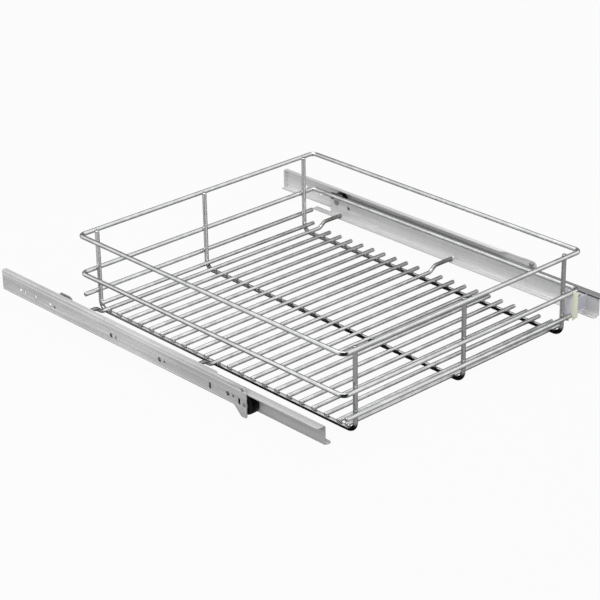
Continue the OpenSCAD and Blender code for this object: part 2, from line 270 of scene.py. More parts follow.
class Repeat:
    """Geometry Nodes tree that sets one shape on every point of a mesh."""

    def __init__(self) -> None:
        """Builds the tree."""
        tree = new_geometry_tree("repeated_shape", {"Shape": "NodeSocketObject", "Spread": "NodeSocketFloat",
                                                    "Seed": "NodeSocketInt", "Finish": "NodeSocketMaterial"})
        graph = Graph(tree)
        given = graph.node("NodeGroupInput")
        shape = graph.output("GeometryNodeObjectInfo", "Geometry", values={"Object": given.outputs["Shape"]})
        low = 1 - Value(graph, given.outputs["Spread"])
        size = graph.output("FunctionNodeRandomValue", settings={"data_type": "FLOAT"},
                            values={"Min": low, "Max": 1.0, "Seed": given.outputs["Seed"]})
        copies = graph.output("GeometryNodeInstanceOnPoints",
                              values={"Points": given.outputs["Geometry"], "Instance": shape, "Scale": size})
        close_tree(graph, copies, given)
        self.tree = tree

    def run(self, name: str, spots: list[Vector], shape: Object, material: Material,
            spread: float = 0.0, seed: int = 1) -> Object:
        """Repeats a shape.

        Args:
            name: The new piece's name.
            spots: Where the copies go.
            shape: The shape, centred on the origin. It is removed.
            material: Its finish.
            spread: How much smaller than full size a copy may come out, as a share.
            seed: The seed for the copies' sizes.

        Returns:
            The copies as one plain mesh.
        """
        made = bake_nodes(name, mesh_object(name, spots), self.tree,
                          {"Shape": shape, "Spread": spread, "Seed": seed, "Finish": material})
        bpy.data.objects.remove(shape)
        return made


def new_geometry_tree(name: str, inputs: dict[str, str]) -> NodeTree:
    """Makes an empty Geometry Nodes tree.

    Args:
        name: The tree's name.
        inputs: Input name to socket type, after the geometry.

    Returns:
        The tree.
    """
    tree = bpy.data.node_groups.new(name, "GeometryNodeTree")
    tree.interface.new_socket("Geometry", in_out="INPUT", socket_type="NodeSocketGeometry")
    for label, kind in inputs.items():
        tree.interface.new_socket(label, in_out="INPUT", socket_type=kind)
    tree.interface.new_socket("Geometry", in_out="OUTPUT", socket_type="NodeSocketGeometry")
    return tree


def close_tree(graph: Graph, geometry: NodeSocket, given: Node) -> None:
    """Ends a tree in Realize Instances, Set Material and the group's output.

    Args:
        graph: The tree's graph.
        geometry: The last geometry socket.
        given: The group's input node, with the Finish socket.
    """
    real = graph.output("GeometryNodeRealizeInstances", values={"Geometry": geometry})
    dressed = graph.output("GeometryNodeSetMaterial",
                           values={"Geometry": real, "Material": given.outputs["Finish"]})
    graph.node("NodeGroupOutput", values={"Geometry": dressed})


def bake_nodes(name: str, base: Object, tree: NodeTree, inputs: dict) -> Object:
    """Runs a tree on a base object and keeps the result as a plain mesh object.

    Args:
        name: The new object's name.
        base: The object that carries the points or the path. It is removed.
        tree: The Geometry Nodes tree.
        inputs: Input name to value.

    Returns:
        The new object.
    """
    modifier = base.modifiers.new("nodes", "NODES")
    modifier.node_group = tree
    for item in tree.interface.items_tree:
        if item.item_type == "SOCKET" and item.in_out == "INPUT" and item.name in inputs:
            modifier[item.identifier] = inputs[item.name]
    base.update_tag()
    bpy.context.view_layer.update()
    ready = base.evaluated_get(bpy.context.evaluated_depsgraph_get())
    mesh = bpy.data.meshes.new_from_object(ready)
    mesh.name = name
    bpy.data.objects.remove(base)
    mesh.materials.clear()
    mesh.materials.append(inputs["Finish"])
    return new_object(name, mesh)


# ---------------- helpers


def grey(tone: float) -> Colour:
    """Makes a neutral colour."""
    return (tone, tone, tone)


def new_material(name: str) -> Material:
    """Makes a material.

    Args:
        name: The material's name.

    Returns:
        The material, with no nodes.
    """
    material = bpy.data.materials.new(name)
    material.use_nodes = True
    material.node_tree.nodes.clear()
    return material


def new_object(name: str, data: bpy.types.ID) -> Object:
    """Links a new object.

    Args:
        name: The object's name.
        data: Its mesh, lamp or camera.

    Returns:
        The object.
    """
    made = bpy.data.objects.new(name, data)
    bpy.context.scene.collection.objects.link(made)
    return made


def mesh_object(name: str, points: Sequence, edges: Sequence = (), faces: Sequence = ()) -> Object:
    """Makes an object from plain points, edges and faces.

    Args:
        name: The object's name.
        points: The points.
        edges: Pairs of point numbers.
        faces: Point numbers of each face.

    Returns:
        The object.
    """
    mesh = bpy.data.meshes.new(name)
    mesh.from_pydata([tuple(p) for p in points], edges, faces)
    return new_object(name, mesh)


def path_object(points: list[Vector], closed: bool, girths: list[float]) -> Object:
    """Makes a mesh of edges for the sweep.

    Args:
        points: The path's points in order.
        closed: Whether the last point joins the first.
        girths: The wire's girth at each point, 1 for full.

    Returns:
        The path object.
    """
    count = len(points)
    edges = [(i, i + 1) for i in range(count - 1)] + ([(count - 1, 0)] if closed else [])
    path = mesh_object("path", points, edges)
    path.data.attributes.new("girth", "FLOAT", "POINT").data.foreach_set("value", girths)
    return path


def rounded(corners: list[Vector], radius: float, closed: bool, steps: int = 10) -> list[Vector]:
    """Rounds a path's corners with arcs.

    Args:
        corners: The corner points.
        radius: The bend radius at the wire's centre.
        closed: Whether the path is a loop.
        steps: The arc's segments.

    Returns:
        The path's points.
    """
    points: list[Vector] = []
    count = len(corners)
    for i, corner in enumerate(corners):
        if not closed and i in (0, count - 1):
            points.append(corner.copy())
            continue
        back = (corners[i - 1] - corner).normalized()
        ahead = (corners[(i + 1) % count] - corner).normalized()
        half = back.angle(ahead) / 2
        centre = corner + (back + ahead).normalized() * (radius / math.sin(half))
        start = corner + back * (radius / math.tan(half)) - centre
        end = corner + ahead * (radius / math.tan(half)) - centre
        axis = start.cross(end).normalized()
        sweep = start.angle(end)
        points += [centre + Matrix.Rotation(sweep * k / steps, 3, axis) @ start for k in range(steps + 1)]
    return points


def shade_by_angle(piece: Object, degrees: float) -> None:
    """Shades smooth, with edges sharper than an angle left crisp."""
    piece.data.shade_smooth()
    piece.data.set_sharp_from_angle(angle=math.radians(degrees))


def lathe(name: str, profile: list[Span], centre: Vector, sign: int, sides: int = 64) -> Object:
    """Turns a profile about the X axis.

    Args:
        name: The object's name.
        profile: (distance along X, radius) pairs of a closed band.
        centre: Where the profile's zero lies.
        sign: 1 to run towards +X, -1 towards -X.
        sides: The facets round the axis.

    Returns:
        The turned object.
    """
    mesh = bpy.data.meshes.new(name)
    work = bmesh.new()
    turns = [2 * math.pi * k / sides for k in range(sides)]
    rings = [[work.verts.new(centre + Vector((sign * x, radius * math.cos(turn), radius * math.sin(turn))))
              for turn in turns] for x, radius in profile]
    for one, two in zip(rings, rings[1:] + rings[:1]):
        for k in range(sides):
            ahead = (k + 1) % sides
            work.faces.new([one[k], one[ahead], two[ahead], two[k]])
    bmesh.ops.recalc_face_normals(work, faces=work.faces)
    work.to_mesh(mesh)
    work.free()
    made = new_object(name, mesh)
    shade_by_angle(made, TURNED_CREASE)
    return made


def sheet_copy(name: str, node: str, edge: float) -> Object:
    """Copies a CAD node's mesh as clean sheet with softened edges.

    Args:
        name: The new object's name.
        node: The CAD node.
        edge: The width of the softened edges.

    Returns:
        The new object.
    """
    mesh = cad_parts[node].data.copy()
    mesh.name = name
    work = bmesh.new()
    work.from_mesh(mesh)
    bmesh.ops.remove_doubles(work, verts=work.verts, dist=MERGE_WITHIN)
    bmesh.ops.dissolve_limit(work, angle_limit=math.radians(FLAT_WITHIN), verts=work.verts, edges=work.edges)
    work.to_mesh(mesh)
    work.free()
    made = new_object(name, mesh)
    bevel = made.modifiers.new("edge", "BEVEL")
    bevel.width = edge
    bevel.segments = 2
    bevel.limit_method = "ANGLE"
    bevel.angle_limit = math.radians(BEVEL_FROM)
    ready = made.evaluated_get(bpy.context.evaluated_depsgraph_get())
    softened = bpy.data.meshes.new_from_object(ready)
    made.modifiers.clear()
    made.data = softened
    softened.name = name
    shade_by_angle(made, SHEET_CREASE)
    return made


def dress(piece: Object, material: Material, body: str, slot: str, *nodes: str) -> None:
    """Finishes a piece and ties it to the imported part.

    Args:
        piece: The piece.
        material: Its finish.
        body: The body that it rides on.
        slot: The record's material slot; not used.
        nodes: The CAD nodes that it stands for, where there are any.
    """
    piece.data.materials.clear()
    piece.data.materials.append(material)
    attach(piece, body)
    if nodes:
        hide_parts(*nodes)
    log.info("%s: %d faces on %s", piece.name, len(piece.data.polygons), body)


# ---------------- finishes


@dataclass(frozen=True)
class Noise:
    """A noise on object coordinates: cells for each metre, octaves, and scale along each axis."""

    scale: float
    detail: float = 2.0
    stretch: Triple = (1, 1, 1)

    def build(self, graph: Painter) -> Value:
        """Lays the noise out, from 0 to 1."""
        at = graph.output("ShaderNodeMapping", values={"Vector": graph.place, "Scale": self.stretch})
        return graph.value("ShaderNodeTexNoise",
                           values={"Vector": at, "Scale": self.scale, "Detail": self.detail})


@dataclass(frozen=True)
class Look:
    """What a finish's pattern gives the shader."""

    colour: NodeSocket
    wear: Value
    height: Value


@dataclass(frozen=True)
class Finish:
    """What every finish shares: a name, two tones, a roughness range and its relief."""

    name: str
    light: Colour
    dark: Colour
    rough: Span
    metallic: float = 1.0
    edge_tint: float = 0.2
    relief: float = 0.15
    relief_depth: float = 0.1 * MM

    def build(self) -> Material:
        """Makes the material.

        Returns:
            The material.
        """
        material = new_material(self.name)
        graph = Painter(material.node_tree)
        shader = graph.node("ShaderNodeBsdfPrincipled",
                            values={"Metallic": self.metallic, "Specular Tint": (*grey(self.edge_tint), 1)})
        graph.node("ShaderNodeOutputMaterial", values={"Surface": shader.outputs[0]})
        look = self.look(graph)
        smooth, coarse = self.rough
        normal = graph.output("ShaderNodeBump", values={"Strength": self.relief, "Height": look.height,
                                                        "Distance": self.relief_depth})
        graph.feed(shader.inputs["Base Color"], look.colour)
        graph.feed(shader.inputs["Roughness"], smooth + (coarse - smooth) * look.wear)
        graph.feed(shader.inputs["Normal"], normal)
        return material

    def look(self, graph: Painter) -> Look:
        """Lays out the pattern, which each finish does in its own way."""
        raise NotImplementedError

    def tone(self, graph: Graph, mask: Value) -> NodeSocket:
        """Mixes the two tones by a mask."""
        return graph.mix(mask, self.dark, self.light)

    @staticmethod
    def blend(one: Value, two: Value, share: float) -> Value:
        """Weighs two patterns against each other, the first by a share."""
        return share * one + (1 - share) * two


@dataclass(frozen=True)
class PlatedWire(Finish):
    """Bright plated steel wire with a slight haze and fine drawing marks."""

    relief: float = 0.12
    haze: Noise = Noise(70, 3)
    haze_step: Span = (0.35, 0.7)
    haze_tone: float = 0.75
    haze_wear: float = 0.6
    grain: Noise = Noise(900)

    def look(self, graph: Painter) -> Look:
        """Lays out the haze and the drawing marks.

        Args:
            graph: The material's graph.

        Returns:
            The pattern.
        """
        haze = self.haze.build(graph).ramp(*self.haze_step)
        grain = self.grain.build(graph)
        colour = self.colour(graph, self.blend(haze, grain, self.haze_tone))
        return Look(colour, self.blend(haze, grain, self.haze_wear), grain)

    def colour(self, graph: Painter, mask: Value) -> NodeSocket:
        """The plating's colour over the wire."""
        return self.tone(graph, mask)


@dataclass(frozen=True)
class RingWire(PlatedWire):
    """The same wire as a ring, with painted shade on the sides of the bend at the front left corner."""

    # Painted shade: near-black on the corner bend's sides that do not face up.
    burnt: Colour = (0.06, 0.065, 0.07)
    inset: float = 6 * MM
    reach: Span = (4 * MM, 7 * MM)
    facing_up: Span = (0.7, 1.0)

    def colour(self, graph: Painter, mask: Value) -> NodeSocket:
        """Paints shade on the sides of the corner's bend, where they do not face up.

        Args:
            graph: The material's graph.
            mask: The mask between the two tones.

        Returns:
            The colour.
        """
        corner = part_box("top_ring")[0]
        centre = (corner.x + self.inset, corner.y + self.inset, 0)
        flat = graph.output("ShaderNodeVectorMath", settings={"operation": "MULTIPLY"},
                            values={0: graph.place, 1: (1, 1, 0)})
        away = graph.value("ShaderNodeVectorMath", settings={"operation": "DISTANCE"},
                           values={0: flat, 1: centre}, name="Value")
        dark = (1 - away.ramp(*self.reach)) * (1 - graph.facing_up().ramp(*self.facing_up))
        return graph.mix(dark, self.tone(graph, mask), self.burnt)


@dataclass(frozen=True)
class FrameWire(PlatedWire):
    """The same wire where it runs under the floor rods, with painted shade on the low run's underside,
    weaker towards the rear, and painted light and shade on the posts.
    """

    # Painted shade: near-black on the low run's underside, below deep_z.
    deep: Colour = (0.02, 0.021, 0.02)
    deep_z: Span = (-17 * MM, -10 * MM)
    underside: Span = (0.4, 0.75)
    # Painted light and shade on the posts: darker at the front, lighter at the rear.
    front_post: Colour = (0.55, 0.54, 0.53)
    rear_post: Colour = (0.95, 0.94, 0.92)
    post_share: float = 0.8
    rearward: Span = (40 * MM, 320 * MM)
    rear_share: float = 0.45
    # Noise that breaks up the edge of the painted shade.
    grime: Noise = Noise(240, 3)
    grime_rise: float = 4 * MM
    grime_tilt: float = 0.15

    def colour(self, graph: Painter, mask: Value) -> NodeSocket:
        """Paints shade on the low run's underside, and paints the posts darker at the front and lighter at
        the rear.

        Args:
            graph: The material's graph.
            mask: The mask between the two tones.

        Returns:
            The colour.
        """
        rear = graph.axis("Y").ramp(*self.rearward)
        grime = self.grime.build(graph)
        raised = (graph.axis("Z") + self.grime_rise * grime).ramp(*self.deep_z)
        under = 1 - (graph.facing_up() + self.grime_tilt * grime).ramp(*self.underside)
        post = graph.mix(rear, self.front_post, self.rear_post)
        # The posts' painted light and shade, then the underside's painted shade.
        worn = graph.mix(self.post_share * raised, self.tone(graph, mask), post)
        dark = (1 - raised) * under * (1 - (1 - self.rear_share) * rear)
        return graph.mix(dark, worn, self.deep)


@dataclass(frozen=True)
class HangerWire(PlatedWire):
    """The same wire as a hanger rod, with painted shade on the raised ends."""

    # Painted shade on the ends that rise into the rails.
    worn: Colour = (0.30, 0.29, 0.28)
    raised_z: Span = (-17 * MM, -14 * MM)

    def colour(self, graph: Painter, mask: Value) -> NodeSocket:
        """Paints shade on the ends that rise to the rails."""
        return graph.mix(graph.axis("Z").ramp(*self.raised_z), self.tone(graph, mask), self.worn)


@dataclass(frozen=True)
class GalvanisedSheet(Finish):
    """Cold rolled strip with a thin zinc coat: lengthwise streaks and soft spangle; a copy may add painted
    highlight lines, a darkening towards the front and the bottom, and painted light and shade on the top
    flange.
    """

    streak: Noise = Noise(260, 3, (1, 0.02, 1))
    patch: Noise = Noise(28, 2, (1, 0.35, 1))
    spangle_scale: float = 420.0
    shares: Triple = (0.55, 0.3, 0.15)
    contrast: Span = (0.25, 0.75)
    # Heights of painted highlight lines along the sheet; line_half is their half width.
    lines: tuple[float, ...] = ()
    line_half: float = 0.7 * MM
    # Painted light and shade on upward faces above flange_z: edge on the bend where the face starts to turn
    # up, flange on the flat top.
    edge: Colour | None = None
    edge_turn: Span = (0.01, 0.08)
    flange: Colour | None = None
    flange_turn: Span = (0.85, 0.97)
    flange_z: Span = (5 * MM, 6 * MM)
    fade_y: Span | None = None
    fade_z: Span = (-8 * MM, 10 * MM)
    fade: Span = (0.55, 0.25)

    def look(self, graph: Painter) -> Look:
        """Lays out streaks and spangle, the painted highlight lines, the darkening towards the front and the
        bottom, and the painted light and shade on the top flange and its edge.

        Args:
            graph: The material's graph.

        Returns:
            The pattern.
        """
        streak, patch = self.streak.build(graph), self.patch.build(graph)
        spangle = graph.value("ShaderNodeTexVoronoi",
                              values={"Vector": graph.place, "Scale": self.spangle_scale})
        long, broad, small = self.shares
        mask = (long * streak + broad * patch + small * spangle).ramp(*self.contrast)
        height = graph.axis("Z")
        # Painted highlight lines at the given heights.
        for line in self.lines:
            rise = (height - line).ramp(-self.line_half, 0.0)
            fall = (height - line).ramp(0.0, self.line_half)
            mask = mask + (rise - fall)
        if self.fade_y:
            ahead, below = 1 - graph.axis("Y").ramp(*self.fade_y), 1 - height.ramp(*self.fade_z)
            mask = mask - self.fade[0] * ahead - self.fade[1] * below
        colour = self.tone(graph, mask)
        # Painted light and shade on the top flange's upward faces and its edge.
        upward, upper = graph.facing_up(), height.ramp(*self.flange_z)
        for own, turn in ((self.edge, self.edge_turn), (self.flange, self.flange_turn)):
            if own:
                colour = graph.mix(upward.ramp(*turn) * upper, colour, own)
        return Look(colour, 1 - mask, streak)


@dataclass(frozen=True)
class TurnedSteel(Finish):
    """Machined or headed steel of the axles, pins and rivets."""

    relief: float = 0.2
    marks: Noise = Noise(1500)
    stains: Noise = Noise(220)
    marks_share: float = 0.6

    def look(self, graph: Painter) -> Look:
        """Lays out tool marks and stains."""
        marks, stains = self.marks.build(graph), self.stains.build(graph)
        return Look(self.tone(graph, self.blend(marks, stains, self.marks_share)), stains, marks)


@dataclass(frozen=True)
class PassivatedZinc(Finish):
    """Blue passivated zinc that turns yellow green towards its front edge."""

    patch: Noise = Noise(90)
    grain: Noise = Noise(1100)
    patch_share: float = 0.7
    cast: Colour = (0.92, 0.94, 0.68)
    cast_y: Span = (-150 * MM, -146 * MM)
    cast_share: float = 0.75
    cast_drift: float = 12 * MM

    def look(self, graph: Painter) -> Look:
        """Lays out the blue patches and the yellow cast.

        Args:
            graph: The material's graph.

        Returns:
            The pattern.
        """
        patch, grain = self.patch.build(graph), self.grain.build(graph)
        behind = (graph.axis("Y") + self.cast_drift * (patch - 0.5)).ramp(*self.cast_y)
        base = self.tone(graph, self.blend(patch, grain, self.patch_share))
        return Look(graph.mix(self.cast_share * (1 - behind), base, self.cast), grain, grain)


@dataclass(frozen=True)
class BlackNylon(Finish):
    """Moulded black nylon, scuffed lighter where it rolls."""

    relief: float = 0.25
    scuffs: Noise = Noise(600, 4)
    scuff_step: Span = (0.5, 0.75)
    pits: Noise = Noise(2500, 1)

    def look(self, graph: Painter) -> Look:
        """Lays out the scuffs and the pitted skin."""
        scuff = self.scuffs.build(graph).ramp(*self.scuff_step)
        return Look(self.tone(graph, scuff), scuff, self.pits.build(graph))


class Finishes:
    """Every material of the object."""

    def __init__(self) -> None:
        """Builds the materials."""
        bright = (0.86, 0.87, 0.87), (0.66, 0.67, 0.67), (0.14, 0.26)
        self.wire = PlatedWire("bright_wire", *bright).build()
        self.ring = RingWire("ring_wire", *bright).build()
        bent = (0.84, 0.85, 0.85), (0.60, 0.61, 0.61), (0.14, 0.26)
        # Painted shade on the underside of both; on the inner wires it covers more of the wire.
        outer = FrameWire("frame_wire_outer", *bent).build()
        inner = FrameWire("frame_wire_inner", *bent, underside=(0.7, 1.05)).build()
        self.frames = {"left": outer, "middle": inner, "right": inner}
        thin = (0.84, 0.845, 0.84), (0.58, 0.585, 0.58), (0.12, 0.24)
        self.rod = PlatedWire("bright_rod", *thin).build()
        self.hanger = HangerWire("hanger_wire", *thin).build()
        self.weld = TurnedSteel("weld_metal", (0.62, 0.61, 0.58), (0.22, 0.21, 0.19), (0.3, 0.5)).build()
        satin, right_tones = (0.4, 0.55), (grey(0.90), grey(0.72))
        # The left drawer rail is the same steel as the right, in darker tones: painted shade.
        left_sheet = GalvanisedSheet("zinc_sheet_left", grey(0.64), grey(0.46), satin, 0.45)
        # Painted shade on the right drawer rail: its top flange's edge near-black, the flange dark.
        right_sheet = GalvanisedSheet("zinc_sheet_right", *right_tones, satin, 0.45,
                                      edge=grey(0.05), flange=grey(0.40))
        # The left cabinet rail has painted highlight lines at two heights, and darkens towards the front and
        # the bottom.
        left_rail = GalvanisedSheet("zinc_rail_left", grey(1.0), grey(0.55), satin, 0.2,
                                    lines=(12.5 * MM, -8.0 * MM), fade_y=(20 * MM, 180 * MM))
        # Painted light on the right cabinet rail's top flange.
        right_rail = GalvanisedSheet("zinc_rail_right", *right_tones, satin, 0.45, flange=grey(0.85))
        self.sheets = {Side.LEFT: left_sheet.build(), Side.RIGHT: right_sheet.build()}
        self.rails = {Side.LEFT: left_rail.build(), Side.RIGHT: right_rail.build()}
        self.steel = TurnedSteel("axle_steel", (0.56, 0.56, 0.57), (0.36, 0.36, 0.37), (0.25, 0.4)).build()
        self.zinc = PassivatedZinc("blue_zinc", (0.93, 0.93, 1.0), (0.84, 0.85, 0.96), satin, 0.0).build()
        self.nylon = BlackNylon("black_nylon", grey(0.012), grey(0.002), (0.45, 0.65), 0.0, 0.15).build()


# ---------------- tray


@dataclass
class WireTray:
    """The welded tray: rings, frame wires, cross wires, floor rods, hangers and their welds."""

    finishes: Finishes
    sweep: Sweep
    repeat: Repeat
    bend: float = 12 * MM
    ring_bend: float = 8 * MM
    hanger_places: tuple[str, ...] = ("middle", "rear")
    hanger_bend: float = 9 * MM
    hanger_knee: float = 13 * MM
    hanger_slope: float = 0.75
    hanger_steps: int = 6
    sides: int = 28
    rod_sides: int = 20
    rod_bead: Triple = (2.3 * MM, 2.7 * MM, 1.5 * MM)
    post_bead: Triple = (2.6 * MM, 1.5 * MM, 2.8 * MM)
    rod_seed: int = 3
    post_seed: int = 5
    bead_spread: float = 0.3
    # The two waves of a bead's lumps: how deep, then the numbers in the sine.
    lump_across: Triple = (0.10, 5.1, 2.3)
    lump_up: Triple = (0.08, 4.3, 1.7)
    # Distance from the cut end in radii, and the girth there.
    tip: tuple[Span, ...] = ((0.0, 0.80), (0.06, 0.90), (0.16, 0.965), (0.3, 1.0))
    rod_nodes: list[str] = field(init=False)
    wire_d: float = field(init=False)
    rod_d: float = field(init=False)
    hanger_d: float = field(init=False)
    frame_x: float = field(init=False)
    floor_z: float = field(init=False)

    def __post_init__(self) -> None:
        """Lists the floor rods and measures the wires."""
        self.rod_nodes = sorted(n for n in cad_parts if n.startswith("floor_rod_")) + ["corner_rod"]
        low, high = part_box("front_low_wire")
        self.wire_d = high.z - low.z
        low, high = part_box("floor_rod_2")
        self.rod_d = high.z - low.z
        low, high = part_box("hanger_rod_middle")
        self.hanger_d = high.y - low.y
        low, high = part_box("frame_wire_right")
        self.frame_x = (low.x + high.x) / 2
        self.floor_z = low.z + self.wire_d / 2

    def tipped(self, points: list[Vector], radius: float) -> tuple[list[Vector], list[float]]:
        """Adds points near a path's two ends, so that the cut ends come out slightly round.

        Args:
            points: The path.
            radius: The wire's radius.

        Returns:
            The new path and the girth at each point.
        """
        first = (points[1] - points[0]).normalized()
        last = (points[-2] - points[-1]).normalized()
        head = [points[0] + first * (radius * d) for d, _ in self.tip]
        tail = [points[-1] + last * (radius * d) for d, _ in reversed(self.tip)]
        girths = [g for _, g in self.tip] + [1.0] * (len(points) - 2) + [g for _, g in reversed(self.tip)]
        return head + points[1:-1] + tail, girths

    def open_wire(self, name: str, points: list[Vector], diameter: float, sides: int,
                  finish: Material) -> Object:
        """Sweeps one wire with two free ends along its points."""
        path, girths = self.tipped(points, diameter / 2)
        return self.sweep.run(name, path_object(path, False, girths), diameter, sides, finish)

    def ring(self, node: str) -> None:
        """Builds one closed ring.

        Args:
            node: Its CAD node, whose box it fills.
        """
        low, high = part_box(node)
        r = self.wire_d / 2
        x0, x1, y0, y1, z = low.x + r, high.x - r, low.y + r, high.y - r, (low.z + high.z) / 2
        corners = [Vector((x, y, z)) for x, y in ((x0, y0), (x1, y0), (x1, y1), (x0, y1))]
        points = rounded(corners, self.ring_bend, True)
        path = path_object(points, True, [1.0] * len(points))
        made = self.sweep.run(f"{node}_wire", path, self.wire_d, self.sides, self.finishes.ring)
        dress(made, self.finishes.ring, BASKET, "bright_wire", node)

    def frame_wire(self, side: str) -> None:
        """Builds one frame wire whose ends bend up as posts.

        Args:
            side: Its place across the tray.
        """
        node = f"frame_wire_{side}"
        low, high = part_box(node)
        r = self.wire_d / 2
        x, y0, y1, z0, z1 = (low.x + high.x) / 2, low.y + r, high.y - r, low.z + r, high.z
        corners = [Vector((x, y, z)) for y, z in ((y0, z1), (y0, z0), (y1, z0), (y1, z1))]
        finish = self.finishes.frames[side]
        points = rounded(corners, self.bend, False)
        made = self.open_wire(f"{node}_bent", points, self.wire_d, self.sides, finish)
        dress(made, finish, BASKET, "bright_wire", node)

    def low_wire(self, node: str) -> None:
        """Builds one straight cross wire.

        Args:
            node: Its CAD node.
        """
        low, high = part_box(node)
        y, z = (low.y + high.y) / 2, (low.z + high.z) / 2
        points = [Vector((x, y, z)) for x in (low.x, 0, high.x)]
        made = self.open_wire(f"{node}_bar", points, self.wire_d, self.sides, self.finishes.wire)
        dress(made, self.finishes.wire, BASKET, "bright_wire", node)

    def hanger(self, place: str) -> None:
        """Builds one hanger rod, which rises to the rails at both ends.

        Args:
            place: Its place along the tray.
        """
        node = f"hanger_rod_{place}"
        low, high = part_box(node)
        r = self.hanger_d / 2
        y, z0, z1 = (low.y + high.y) / 2, low.z + r, high.z - r
        knee = self.frame_x + self.hanger_knee
        rise = (z1 - z0) / self.hanger_slope
        half = [Vector((knee, y, z0)), Vector((knee + rise, y, z1)), Vector((high.x, y, z1))]
        mirrored = [Vector((-p.x, p.y, p.z)) for p in reversed(half)]
        points = rounded(mirrored + half, self.hanger_bend, False, self.hanger_steps)
        made = self.open_wire(f"{node}_bent", points, self.hanger_d, self.rod_sides, self.finishes.hanger)
        dress(made, self.finishes.hanger, BASKET, "bright_wire", node)

    def rods(self) -> None:
        """Builds the floor rods: one swept rod, repeated at every rod's centre."""
        low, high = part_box("floor_rod_2")
        reach = (high.x - low.x) / 2
        points = [Vector((x, 0, 0)) for x in (-reach, 0, reach)]
        rod = self.open_wire("rod_shape", points, self.rod_d, self.rod_sides, self.finishes.rod)
        centres = [(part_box(n)[0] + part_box(n)[1]) / 2 for n in self.rod_nodes]
        made = self.repeat.run("floor_rods", centres, rod, self.finishes.rod)
        shade_by_angle(made, WIRE_CREASE)
        dress(made, self.finishes.rod, BASKET, "bright_wire", *self.rod_nodes)

    def bead(self, radii: Triple) -> Object:
        """Makes one lumpy weld bead.

        Args:
            radii: The bead's half sizes along X, Y and Z.

        Returns:
            The bead, centred on the origin.
        """
        mesh = bpy.data.meshes.new("bead")
        work = bmesh.new()
        bmesh.ops.create_icosphere(work, subdivisions=2, radius=1.0)
        (across, along_x, along_y), (up, along_z, shift) = self.lump_across, self.lump_up
        for vert in work.verts:
            lump = 1 + across * math.sin(along_x * vert.co.x + along_y * vert.co.y)
            lump += up * math.sin(along_z * vert.co.z + shift)
            vert.co = Vector([c * r * lump for c, r in zip(vert.co, radii)])
        work.to_mesh(mesh)
        work.free()
        return new_object("bead", mesh)

    def weld_beads(self, name: str, spots: list[Vector], radii: Triple, seed: int) -> None:
        """Sets a bead on every spot.

        Args:
            name: The piece's name.
            spots: The places where two wires touch.
            radii: The bead's half sizes.
            seed: The seed for the beads' sizes.
        """
        made = self.repeat.run(name, spots, self.bead(radii), self.finishes.weld, self.bead_spread, seed)
        shade_by_angle(made, BEAD_CREASE)
        dress(made, self.finishes.weld, BASKET, "bright_wire")

    def rod_seat(self, node: str) -> tuple[Vector, Vector]:
        """Finds where a rod rests on the frame wires.

        Args:
            node: The rod's CAD node.

        Returns:
            The rod's centre at the middle of the tray, and the step from there to the frame wire.
        """
        low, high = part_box(node)
        frame_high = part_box("frame_wire_right")[1]
        bend_y, bend_z = frame_high.y - self.wire_d / 2 - self.bend, self.floor_z + self.bend
        radius = (high.y - low.y) / 2
        centre = Vector((0, (low.y + high.y) / 2, low.z + radius))
        if centre.y > bend_y:
            return centre, Vector((0, centre.y - bend_y, centre.z - bend_z)).normalized() * radius
        return centre, Vector((0, 0, -radius))

    def post_places(self, node: str) -> list[Span]:
        """Finds where the posts meet a ring or a cross wire.

        Args:
            node: The wire's CAD node.

        Returns:
            Y and Z of each row of welds.
        """
        low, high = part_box(node)
        z = (low.z + high.z) / 2
        if node.endswith("ring"):
            return [(low.y + self.wire_d, z), (high.y - self.wire_d, z)]
        lean = self.wire_d / 2 if node.startswith("front") else -self.wire_d / 2
        return [((low.y + high.y) / 2 + lean, z)]

    def welds(self) -> None:
        """Builds the welds between rods and frame wires, and between posts and rings."""
        frames = (-self.frame_x, 0.0, self.frame_x)
        seats = []
        for node in self.rod_nodes + [f"hanger_rod_{place}" for place in self.hanger_places]:
            centre, out = self.rod_seat(node)
            seats += [Vector((x, centre.y, centre.z)) + out for x in frames]
        self.weld_beads("rod_welds", seats, self.rod_bead, self.rod_seed)
        posts = [Vector((x, y, z)) for node in ("top_ring", "middle_ring", "front_low_wire", "rear_low_wire")
                 for y, z in self.post_places(node) for x in frames]
        self.weld_beads("post_welds", posts, self.post_bead, self.post_seed)

    def build(self) -> None:
        """Builds and dresses the whole tray."""
        for node in ("top_ring", "middle_ring"):
            self.ring(node)
        for node in ("front_low_wire", "rear_low_wire"):
            self.low_wire(node)
        for side in ("left", "middle", "right"):
            self.frame_wire(side)
        for place in self.hanger_places:
            self.hanger(place)
        self.rods()
        self.welds()


# ---------------- runners


